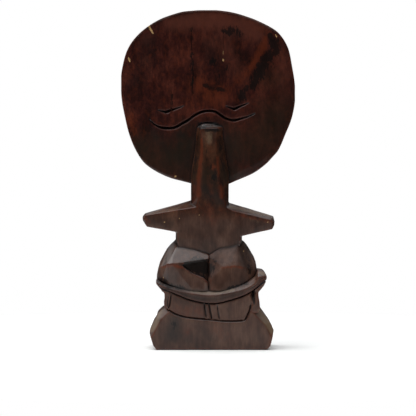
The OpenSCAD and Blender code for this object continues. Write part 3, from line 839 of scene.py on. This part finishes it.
seatLines = [
    # growth lines that show on the horn's face
    {"points": [(54.6, 68.4), (50, 66.2), (45, 61.8), (38, 58)], "half": 0.5, "cut": 0.3, "y": -30},
    {"points": [(55.4, 70.2), (51, 68.6), (46.5, 64.6)], "half": 0.45, "cut": 0.25, "y": -30},
    {"points": [(-26, 54.4), (-12, 50.6), (3, 49.2), (18, 51.2), (30, 54.8)], "half": 0.5, "cut": 0.3,
     "y": -30},
]
seatMarks = {"scallopSize": 12, "scallopDepth": 0.35, "waveSize": 12, "waveDepth": 0.45, "seed": 31}
seat = handCut(makeSeat(), seatLines, seatMarks, stoolFinish)

support = {
    "front": -29.3, "back": 27.0, "columnFront": -30.5,
    "outline": [(-42.2, 55.5), (-41.7, 52), (-42.6, 47), (-42.4, 42.8), (-42, 41), (-39, 39.2), (-36, 36.9),
                (-31.5, 34.3), (-24, 32), (-15.8, 30.6), (-7.3, 29.8), (2.4, 29), (14.6, 27.8), (24.4, 27.6),
                (35.6, 28.3), (38, 32.6), (40.3, 38.6), (50, 39), (50, 42.3), (49.6, 46.8), (48.5, 52.8),
                (48.4, 56), (47, 62), (36, 58), (20, 54), (2, 51), (-16, 53), (-32, 58), (-41, 62)],
    # the uprights at both sides of the panel, with an ear under each end of the seat
    "rightColumn": [(41.6, 36), (48, 36), (50, 39.5), (50, 42.3), (49.6, 46.8), (48.5, 52.8), (48.5, 55.8),
                    (50.7, 58.1), (53.7, 61.8), (56.0, 66.3), (55, 67), (48.5, 62.6), (44.5, 59.6),
                    (44.3, 52), (45.2, 46), (42.2, 43.6)],
    "leftColumn": [(-42.3, 40.6), (-42.3, 42.7), (-42.6, 46.8), (-41.6, 52.1), (-42, 55.5), (-45.7, 58.8),
                   (-48.4, 61.8), (-47, 63), (-42, 61), (-38, 58), (-36.6, 54.5), (-37.2, 48), (-38.6, 42)],
}
seatGroove = {"points": [(-47.5, 61.3), (-42.7, 58.4), (-38, 57), (-32.9, 55), (-26.5, 52.2), (-20.7, 49.8),
                         (-13, 47.5), (-6.1, 46), (0.5, 45.3), (7.3, 45.4), (13, 46.3), (18.3, 47.7),
                         (25, 49.6), (31.7, 51.7), (36.5, 54), (41.7, 56.8), (45, 59), (48.5, 61.6),
                         (53, 64.8), (55.6, 66.8)],
              "half": 1.5, "cut": 2.4, "ends": 0.12, "y": -30}
panelFoot = {"points": [(-39.2, 39.6), (-36, 37), (-31.5, 34.4), (-24, 32), (-15.8, 30.7), (-7.3, 29.9),
                        (2.4, 29.1), (14.6, 27.9), (24.4, 27.7), (35.4, 28.4)], "half": 1.3, "cut": 1.7,
                        "ends": 0.04, "y": -31}
panelSide = {"points": [(35.4, 28.4), (38, 32.8), (40.3, 38.8), (41.2, 44)], "half": 1.2, "cut": 1.5,
             "ends": 0.1, "y": -30}
supportLines = [
    seatGroove, panelFoot, panelSide,
    # the deep wedge beside the right upright, and the left edge of the panel
    {"points": [(43.4, 58.4), (43.4, 54), (44, 49.6), (44.6, 44.6)], "half": 3.6, "cut": 4.4, "peak": 0.1,
     "y": -30},
    {"points": [(-35.6, 55), (-36.3, 49.1), (-37.5, 42.6), (-39.4, 39.8)], "half": 0.9, "cut": 1.0,
     "y": -30},
    {"points": [(-38.4, 53), (-39.2, 46), (-39.6, 41)], "half": 0.8, "cut": 0.8, "y": -30},
    # three slanting strokes
    {"points": [(-3.6, 45.6), (-3, 39), (-1.6, 31.2)], "half": 1.1, "cut": 1.4, "y": -29, "ends": 0.2},
    {"points": [(0.7, 45.4), (2.2, 37), (3.6, 29.4)], "half": 1.25, "cut": 1.6, "y": -29, "ends": 0.15},
    {"points": [(8.8, 44.2), (9.8, 36), (11, 29.4)], "half": 1.0, "cut": 1.2, "y": -29, "ends": 0.25},
]
supportMarks = {"scallopSize": 16, "scallopDepth": 0.25, "waveSize": 12, "waveDepth": 0.3, "seed": 41}


def frontPrism(outline, front, back):
    ring = [[(x, y, z) for x, z in outline] for y in (front, back)]
    return loftPart(ring)


supportPiece = carvedSkin("stoolSupport", [
    frontPrism(support["outline"], support["front"], support["back"]),
    frontPrism(support["rightColumn"], support["columnFront"], support["back"] - 0.5),
    frontPrism(support["leftColumn"], support["columnFront"] + 0.3, support["back"] - 0.5)],
    stool["voxel"], stool["soften"])
supportPiece = handCut(supportPiece, supportLines, supportMarks, stoolFinish)

base = {
    "front": -30.8, "back": 30.8,
    "outline": [(-49.6, 0.15), (56.4, 0.15), (60.2, 3.6), (62.4, 12.6), (63.4, 19), (59.9, 25.8),
                (54.6, 33.4), (49.9, 40), (-42.6, 40), (-45.8, 37.8), (-49.2, 34.4), (-50.5, 30.2),
                (-53.4, 25.8), (-56.4, 18.9), (-56.6, 15.8), (-53, 4.3)],
    # knife facets: a point on each and the way it faces
    "facets": [((-43.6, -30.8, 31.5), (-0.58, -0.53, 0.62)), ((-48.9, -30.8, 23), (-0.70, -0.60, 0.38)),
               ((48.4, -30.8, 31), (0.60, -0.53, 0.60)), ((56.5, -30.8, 21), (0.70, -0.60, 0.38)),
               ((-53, -30.8, 4), (-0.5, -0.7, -0.5)), ((60, -30.8, 3), (0.5, -0.7, -0.5)),
               ((0, -30.8, 1.0), (0, -0.6, -0.8)), ((0, 30.8, 1.0), (0, 0.6, -0.8)),
               ((-43, 30.8, 37), (-0.5, 0.75, 0.42)), ((49, 30.8, 37), (0.5, 0.75, 0.42))],
}
baseLines = [panelFoot, panelSide]
baseMarks = {"scallopSize": 22, "scallopDepth": 0.4, "waveSize": 20, "waveDepth": 0.4, "seed": 51}


def makeBase():
    block = frontPrism(base["outline"], base["front"], base["back"])
    for point, facing in base["facets"]:
        block = facetCut(block, point, facing)
    obj = meshObject("baseBlank", *block)
    recess = [(x, z) for x, z in support["outline"] if z < 43 and x < 41] + [(41.8, 44), (41.8, 60),
                                                                             (-43, 60)]
    panel = meshObject("panelTool", *frontPrism(recess, -40, 27.2))
    booleanCut(obj, panel, "DIFFERENCE")
    block = plainPart(obj)
    drop(obj, panel)
    return carvedSkin("stoolBase", [block], 0.7, 3)


basePiece = handCut(makeBase(), baseLines, baseMarks, stoolFinish)
print("stool:", len(seat.data.polygons), len(supportPiece.data.polygons), len(basePiece.data.polygons))


# Stain, wear and grime, stored on each piece's points.

# strokes of stain, painted shade and painted highlight on the front: points (x, z, half width), then
# strength
strokeMarks = {
    # near-black: pooled stain on the disc, and painted shade beside the nose ridge, under the nose's ledge,
    # in the left thigh's hollow, where the thighs meet the seat and down the thighs' outer sides
    "pooled": [
        ([(-9.6, 206, 1.8), (-10.6, 190, 2.2), (-13, 172, 2.2)], 0.55),
        ([(11.4, 206, 1.8), (13, 190, 2.2), (15.6, 172, 2.2)], 0.55),
        ([(34, 96, 3), (40, 84, 4), (41, 76, 4)], 0.5), ([(-40, 92, 3), (-43, 82, 3)], 0.35),
        ([(61, 305, 2.5), (64, 298, 5), (66, 290, 4), (58, 284, 6.5), (52, 272, 6), (46, 262, 5),
          (43, 254, 3)], 1.12),
        ([(33, 246.5, 5)], 0.9), ([(38, 254, 3), (31, 243, 3)], 0.6), ([(4, 279.6, 3.8)], 0.75),
        ([(-3.5, 257, 2), (4, 253.8, 2.6), (17, 251.6, 1.6)], 0.85),
        ([(16, 311, 4), (25, 309.5, 6), (31, 306, 4)], 0.55), ([(6, 166.8, 2.9)], 1.3),
        ([(2, 178, 2.4), (0, 172, 2.4)], 0.6), ([(-16, 312, 3), (-15.6, 290, 3), (-15, 250, 2.5)], 0.4),
        ([(-9, 218.8, 1.3), (0, 219.4, 1.3), (9, 218.4, 1.3)], 1.1),
        ([(-7, 215.6, 2.4), (-3, 216, 2)], 1.2), ([(-26, 116, 5)], 0.3), ([(4, 88, 3), (8, 84, 4)], 0.4),
        ([(-47, 68, 3), (-38, 62.5, 2.6), (-24, 60, 2)], 0.9), ([(38, 64.5, 1.6), (20, 59.6, 1.4)], 0.9),
        ([(-33, 24, 5)], 0.4), ([(-21, 82, 3), (-12, 81.5, 6), (-3, 79, 7)], 2.2),
        ([(20, 275, 5), (10, 268, 6)], 0.3), ([(0, 60, 3)], 0.5),
        ([(-35.5, 247, 1.6), (-36, 230, 1.6)], 0.5), ([(7, 174, 3), (12, 160, 3.5)], 0.45),
        ([(-1, 212.8, 1.6), (9, 212.8, 1.6)], 1.2), ([(-8, 217.5, 2), (0, 217, 2)], 0.7),
    ],
    "rubbed": [
        ([(56, 303, 2.6), (54, 293, 4.5), (48, 283, 5), (42, 274, 4)], 1.15),
        ([(30, 262, 6), (38, 270, 6)], 0.6), ([(-8, 256, 14), (2, 246, 14), (16, 250, 10)], 0.72),
        ([(-22, 240, 7), (12, 238, 8)], 0.42), ([(-76, 226, 4), (-72, 210, 4)], 0.75),
        ([(5.4, 176.6, 3.4)], 1.15),
        ([(-6.5, 204, 1.2), (-6.2, 190, 1.8), (-8.4, 172, 2.4), (-9.6, 150, 3)], 1.0),
        ([(1, 168, 3.4), (3, 152, 4)], 0.35),
        ([(-14, 158, 2.4), (-13.6, 144, 2.4)], 0.55),
        ([(9, 186, 1.5), (10, 168, 2), (14, 148, 3)], 0.85),
        ([(-44, 79.6, 1.4), (-36, 81.8, 1.7), (-24, 79.6, 1.6)], 0.9),
        ([(14, 79.4, 1.5), (26, 80.6, 1.5), (34, 79, 1.3)], 0.7), ([(-62, 127, 2.6), (-58, 124, 3)], 0.6),
        ([(28, 131, 2), (45, 126.5, 2.2), (62, 123, 2.4)], 0.55), ([(0, 134, 12), (4, 128, 10)], 0.4),
        ([(46, 61, 2), (52, 66, 2.6), (55, 70, 2)], 0.6), ([(-30, 40, 9), (-8, 38, 8)], 0.35),
        ([(8, 22, 8), (18, 12, 8)], 0.3), ([(-20, 18, 5)], 0.4), ([(40, 320, 6), (60, 306, 5)], 0.4),
        ([(60, 6, 4), (61, 14, 3)], 0.5),
    ],
    # soft dark patches: soot on the disc, arm and stool, and painted shade beside the nose ridge, on the
    # neck under the disc and down the right thigh's side
    "smoke": [
        ([(-32, 27, 8), (-34, 15, 10)], 1.0), ([(-20, 10, 7)], 0.5), ([(2, 10, 6), (-6, 20, 5)], 0.45),
        ([(-58, 125, 5), (-38, 122, 6)], 0.6), ([(-5, 156, 8), (10, 146, 8)], 1.0),
        ([(-52, 208, 9), (-38, 190, 9)], 0.8), ([(-66, 262, 12), (-58, 300, 9)], 0.4),
        ([(26, 206, 8), (30, 186, 7)], 0.6), ([(-29, 208, 5), (-23, 207, 4)], 1.1),
        ([(-27, 199, 4.5), (-28, 186, 6)], 1.0), ([(-18, 204, 4), (-20, 178, 4.5)], 0.9),
        ([(19.5, 206, 4), (23, 184, 4)], 0.8), ([(32, 97, 2.6), (33, 88, 3), (38, 80, 4)], 0.9),
        ([(2, 284, 9), (-2, 296, 8)], 0.35), ([(20, 308, 9)], 0.45), ([(48, 12, 7)], 0.3),
        ([(-22, 218, 8)], 0.4),
    ],
    # thin stain: a lighter, pinkish red-brown
    "thin": [
        ([(-36, 318, 9), (5, 322, 13), (45, 313, 12)], 1.15), ([(68, 292, 8), (76, 266, 6)], 0.6),
        ([(-62, 302, 8)], 0.35), ([(8, 300, 12), (20, 290, 10)], 0.6), ([(34, 316, 10), (48, 306, 7)], 1.2),
        ([(72, 276, 8), (76, 250, 9)], 0.5), ([(22, 284, 9), (30, 270, 8)], 0.5),
        ([(-10, 276, 8), (-6, 262, 8)], 0.3),
    ],
    # pale olive-tan painted highlight: glare on the nose, the shoulder tops, the seat's front and the base's
    # chamfers
    "pale": [
        ([(-45, 38.4, 2.6), (-48.6, 32, 3), (-51.6, 25, 3), (-54.4, 19, 2.2)], 1.0),
        ([(50.5, 37, 3), (54.6, 31, 4), (59, 24, 3.6), (61.6, 18.4, 2.6)], 1.25),
        ([(22, 138.6, 2), (44, 133.4, 2.2), (60, 129.4, 1.4)], 0.8),
        ([(-18, 140.5, 2), (-40, 134.6, 2), (-58, 130.8, 1)], 0.5), ([(50, 74.6, 2), (54, 73.8, 1.8)], 1.0),
        ([(-16, 57, 1.6), (-8, 55.6, 2), (8, 55.4, 2.2), (24, 58, 2)], 0.95),
        ([(1, 210, 4.6), (1.6, 202, 3.4)], 0.75), ([(40, 126, 4), (54, 123, 3)], 0.35),
    ],
    # olive-brown where the red has gone: all round the foot of the disc and on its right; down the thighs'
    # outer sides it is painted shade
    "faded": [
        ([(-70, 196, 18), (-40, 178, 24), (-20, 196, 20)], 0.9),
        ([(28, 196, 22), (52, 200, 28), (66, 226, 24)], 0.85), ([(60, 262, 14)], 0.6),
        ([(-26, 170, 14), (24, 170, 14)], 0.9), ([(-24, 216, 10), (24, 214, 12)], 0.6),
        ([(-40, 90, 6), (-30, 104, 6)], 0.8), ([(38, 92, 7), (34, 102, 5)], 0.9),
    ],
}
strokeFade = {"front": 1.15, "depth": 26}  # how the strokes die away, depth in mm


def strokeField(points, normals, strokes):
    out = np.zeros(len(points))
    flat = points[:, [0, 2]] / mm
    for marks, strength in strokes:
        if len(marks) == 1:
            marks = marks * 2
        for (ax, az, ra), (bx, bz, rb) in zip(marks[:-1], marks[1:]):
            a, along = np.array([ax, az]), np.array([bx - ax, bz - az])
            share = np.clip(((flat - a) @ along) / max(along @ along, 1e-9), 0, 1)
            gap = np.linalg.norm(flat - a - share[:, None] * along, axis=1)
            out = np.maximum(out, strength * np.exp(-(gap / (ra + (rb - ra) * share)) ** 2))
    # the strokes belong to the front and die away down the sides
    depth = (points[:, 1] - points[:, 1].min()) / mm
    return out * (normals[:, 1] < 0.1) * np.clip(strokeFade["front"] - depth / strokeFade["depth"], 0, 1)


def edgeTurn(mesh, points, normals, rounds):
    # how far each point stands proud of its neighbours, in mm, evened out a little
    edges = np.empty(len(mesh.edges) * 2, np.int64)
    mesh.edges.foreach_get("vertices", edges)
    a, b = edges.reshape(-1, 2).T
    away = points[a] - points[b]
    length = np.maximum(np.linalg.norm(away, axis=1), 1e-7)
    total = np.zeros(len(points))
    count = np.zeros(len(points))
    np.add.at(total, a, (away * normals[a]).sum(1) / length ** 2)
    np.add.at(total, b, (-away * normals[b]).sum(1) / length ** 2)
    np.add.at(count, a, 1)
    np.add.at(count, b, 1)
    turn = total / np.maximum(count, 1) * mm
    for _ in range(rounds):
        spread = turn.copy()
        np.add.at(spread, a, turn[b])
        np.add.at(spread, b, turn[a])
        turn = spread / (count + 1)
    return turn


def storeMark(mesh, key, values):
    layer = mesh.attributes.get(key) or mesh.attributes.new(key, "FLOAT", "POINT")
    layer.data.foreach_set("value", values.astype(np.float32))


# the greyish film that these levels set is dust and painted sheen
dustSheenLevels = (140, 118)  # mm: the film thickens from the neck down to the chest


def readPoints(mesh):
    points = np.empty(len(mesh.vertices) * 3)
    normals = np.empty(len(mesh.vertices) * 3)
    mesh.vertices.foreach_get("co", points)
    mesh.vertices.foreach_get("normal", normals)
    return points.reshape(-1, 3), normals.reshape(-1, 3)


def nearestValues(points, source, values):
    # values of the closest source points: the skin before it was parted has no seams
    tree = KDTree(len(source))
    for i, p in enumerate(source):
        tree.insert(p, i)
    tree.balance()
    return np.array([values[tree.find(p)[1]] for p in points])


# how far a point stands proud for full wear, how far sunk for full painted shade, and how far
# the painted shade reaches from a neighbouring piece, in mm
wearAndCreaseShade = {"proudAt": 0.16, "sunkAt": 0.2, "most": 1.3, "reach": 2.8}


def paintMarks(piece, neighbours, whole=None):
    mesh = piece.data
    points, normals = readPoints(mesh)
    if whole is None:
        turn = edgeTurn(mesh, points, normals, 3)
    else:
        turn = nearestValues(points, *whole)
    proud = np.clip(turn / wearAndCreaseShade["proudAt"], 0, wearAndCreaseShade["most"])
    sunk = np.clip(-turn / wearAndCreaseShade["sunkAt"], 0, 1)
    reach = wearAndCreaseShade["reach"] * mm
    near = np.zeros(len(points))
    for tree, low, high in neighbours:
        close = np.all((points > low - reach) & (points < high + reach), axis=1)
        for i in np.nonzero(close)[0]:
            hit = tree.find_nearest(points[i], reach)
            if hit[0] is not None:
                near[i] = max(near[i], 1 - hit[3] / reach)
    storeMark(mesh, "edgeWear", proud)
    # crease: painted shade in sunk places and along the lines where pieces meet
    storeMark(mesh, "crease", np.maximum(sunk, near))
    # dust: the greyish film, part dust and part painted sheen, full from the chest down
    dustSheenFrom, dustSheenTo = dustSheenLevels
    storeMark(mesh, "dust", smoothStep(dustSheenFrom, dustSheenTo, points[:, 2] / mm))
    for key, strokes in strokeMarks.items():
        storeMark(mesh, key, strokeField(points, normals, strokes))


def finishMesh(piece):
    mesh = piece.data
    mesh.polygons.foreach_set("use_smooth", np.ones(len(mesh.polygons), bool))
    bm = bmesh.new()
    bm.from_mesh(mesh)
    bmesh.ops.remove_doubles(bm, verts=bm.verts, dist=0.000005)
    bmesh.ops.recalc_face_normals(bm, faces=bm.faces)
    low, high = cadBox
    for v in bm.verts:  # nothing stands outside the measured block
        v.co = [min(max(c, a), b) for c, a, b in zip(v.co, low, high)]
    for e in bm.edges:
        e.smooth = not (len(e.link_faces) == 2 and e.calc_face_angle(0) > math.radians(55))
    bm.to_mesh(mesh)
    bm.free()


def treeOf(piece):
    co = np.array([v.co for v in piece.data.vertices])
    tree = BVHTree.FromPolygons([v.co for v in piece.data.vertices],
                                [p.vertices for p in piece.data.polygons])
    return tree, co.min(0), co.max(0)


pieceNodes = [
    (disc, "head_disc", "stained_wood", stainedFinish),
    (upperPieces["noseRidge"], "nose_ridge", "worn_stained_wood", handledFinish),
    (upperPieces["neck"], "neck", "worn_stained_wood", handledFinish),
    (torso, "torso", "stained_wood", handledFinish),
    (upperPieces["leftArm"], "left_arm", "stained_wood", handledFinish),
    (upperPieces["rightArm"], "right_arm", "stained_wood", handledFinish),
    (leftThigh, "left_thigh", "stained_wood", thighFinish),
    (rightThigh, "right_thigh", "stained_wood", dullFinish),
    (seat, "stool_seat", "stained_wood", stoolFinish),
    (supportPiece, "stool_support", "worn_stained_wood", stoolFinish),
    (basePiece, "stool_base", "worn_stained_wood", stoolFinish),
]
for piece, node, slotName, finish in pieceNodes:
    finishMesh(piece)
wholePoints, wholeNormals = readPoints(upperWhole.data)
wholeSkin = (wholePoints, edgeTurn(upperWhole.data, wholePoints, wholeNormals, 3))
drop(upperWhole)
trees = {node: treeOf(piece) for piece, node, slotName, finish in pieceNodes}
# a seam inside one smooth skin gets no painted shade, only a real crease does
upperNodes = {"nose_ridge", "neck", "torso", "left_arm", "right_arm"}
seamless = [{"nose_ridge", "neck"}, {"neck", "torso"}, {"torso", "left_arm"}, {"torso", "right_arm"},
            {"stool_support", "stool_base"}]
for piece, node, slotName, finish in pieceNodes:
    others = [trees[other] for other in trees if other != node and {node, other} not in seamless]
    paintMarks(piece, others, wholeSkin if node in upperNodes else None)
    piece.data.materials.clear()
    piece.data.materials.append(finish)
    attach(piece, "root")
    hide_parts(node)
print("marks stored, pieces riding on the body")


# Floor, light and camera.
studio = {
    "floorRadius": 0.5, "floorTone": "#fafaf8", "worldSeen": 1.0, "worldLight": 0.03,
    "domeStrength": 2.5, "domeAngle": 74,
    # name: place, what it faces, size, radiance
    "boxes": {"overheadBox": ((-0.48, -0.18, 1.2), (0, 0, 0.1), 0.9, 3.0),
              "leftBox": ((-1.1, 0.62, 0.85), (0, 0, 0.1), 0.9, 1.5),
              "rightBox": ((0.75, 1.1, 0.95), (0, 0, 0.1), 0.7, 1.3),
              "backBox": ((0.0, 1.35, 0.70), (0, 0, 0.15), 0.6, 0.6)},
    "lens": 195, "distance": 2.206, "elevation": 1.2, "aim": (-0.0001, 0.0, 0.1367),
}


def makeStudio():
    radius = studio["floorRadius"] / mm
    turns = [2 * math.pi * i / 96 for i in range(96)]
    floor = meshObject("floor", [(radius * math.cos(a), radius * math.sin(a), 0) for a in turns],
                       [list(range(96))])
    paper = bpy.data.materials.new("mattPaperSweep")
    paper.use_nodes = True
    shader = paper.node_tree.nodes["Principled BSDF"]
    shader.inputs["Base Color"].default_value = fromHex(studio["floorTone"])
    shader.inputs["Roughness"].default_value = 0.9
    shader.inputs["Specular IOR Level"].default_value = 0.1
    floor.data.materials.append(paper)
    world = bpy.data.worlds.new("paleStudio")
    bpy.context.scene.world = world
    world.use_nodes = True
    tree = world.node_tree
    tree.nodes.clear()
    rays = addNode(tree, "ShaderNodeLightPath")
    seen = addNode(tree, "ShaderNodeBackground", {},
                   {"Color": (1, 1, 1, 1), "Strength": studio["worldSeen"]})
    lit = addNode(tree, "ShaderNodeBackground", {},
                  {"Color": (0.93, 0.96, 1, 1), "Strength": studio["worldLight"]})
    both = addNode(tree, "ShaderNodeMixShader", {}, {0: rays.outputs["Is Camera Ray"], 1: lit.outputs[0],
                                                     2: seen.outputs[0]})
    addNode(tree, "ShaderNodeOutputWorld", {}, {"Surface": both.outputs[0]})

    def lamp(name, kind, place, aim, **settings):
        data = bpy.data.lights.new(name, kind)
        for key, value in settings.items():
            setattr(data, key, value)
        obj = bpy.data.objects.new(name, data)
        obj.location = place
        obj.rotation_euler = (Vector(aim) - Vector(place)).to_track_quat("-Z", "Y").to_euler()
        bpy.context.scene.collection.objects.link(obj)
        return obj

    lamp("skyDome", "SUN", (0, 0, 3), (0, 0, 0), energy=studio["domeStrength"],
         angle=math.radians(studio["domeAngle"]), color=(0.97, 0.985, 1))
    for name, (place, aim, size, radiance) in studio["boxes"].items():
        # an area light's watts for a wanted radiance: pi x area x radiance
        lamp(name, "AREA", place, aim, energy=math.pi * size * size * radiance, shape="SQUARE", size=size,
             color=(0.97, 0.985, 1))

    lift = math.radians(studio["elevation"])
    aim = Vector(studio["aim"])
    cam = bpy.data.cameras.new("camera")
    cam.lens = studio["lens"]
    cam.clip_end = 50
    camera = bpy.data.objects.new("camera", cam)
    camera.location = aim + Vector((0, -math.cos(lift), math.sin(lift))) * studio["distance"]
    camera.rotation_euler = (aim - camera.location).to_track_quat("-Z", "Y").to_euler()
    bpy.context.scene.collection.objects.link(camera)
    bpy.context.scene.camera = camera
    bpy.context.scene.view_settings.view_transform = "Standard"


makeStudio()
print("floor, lights and camera set")
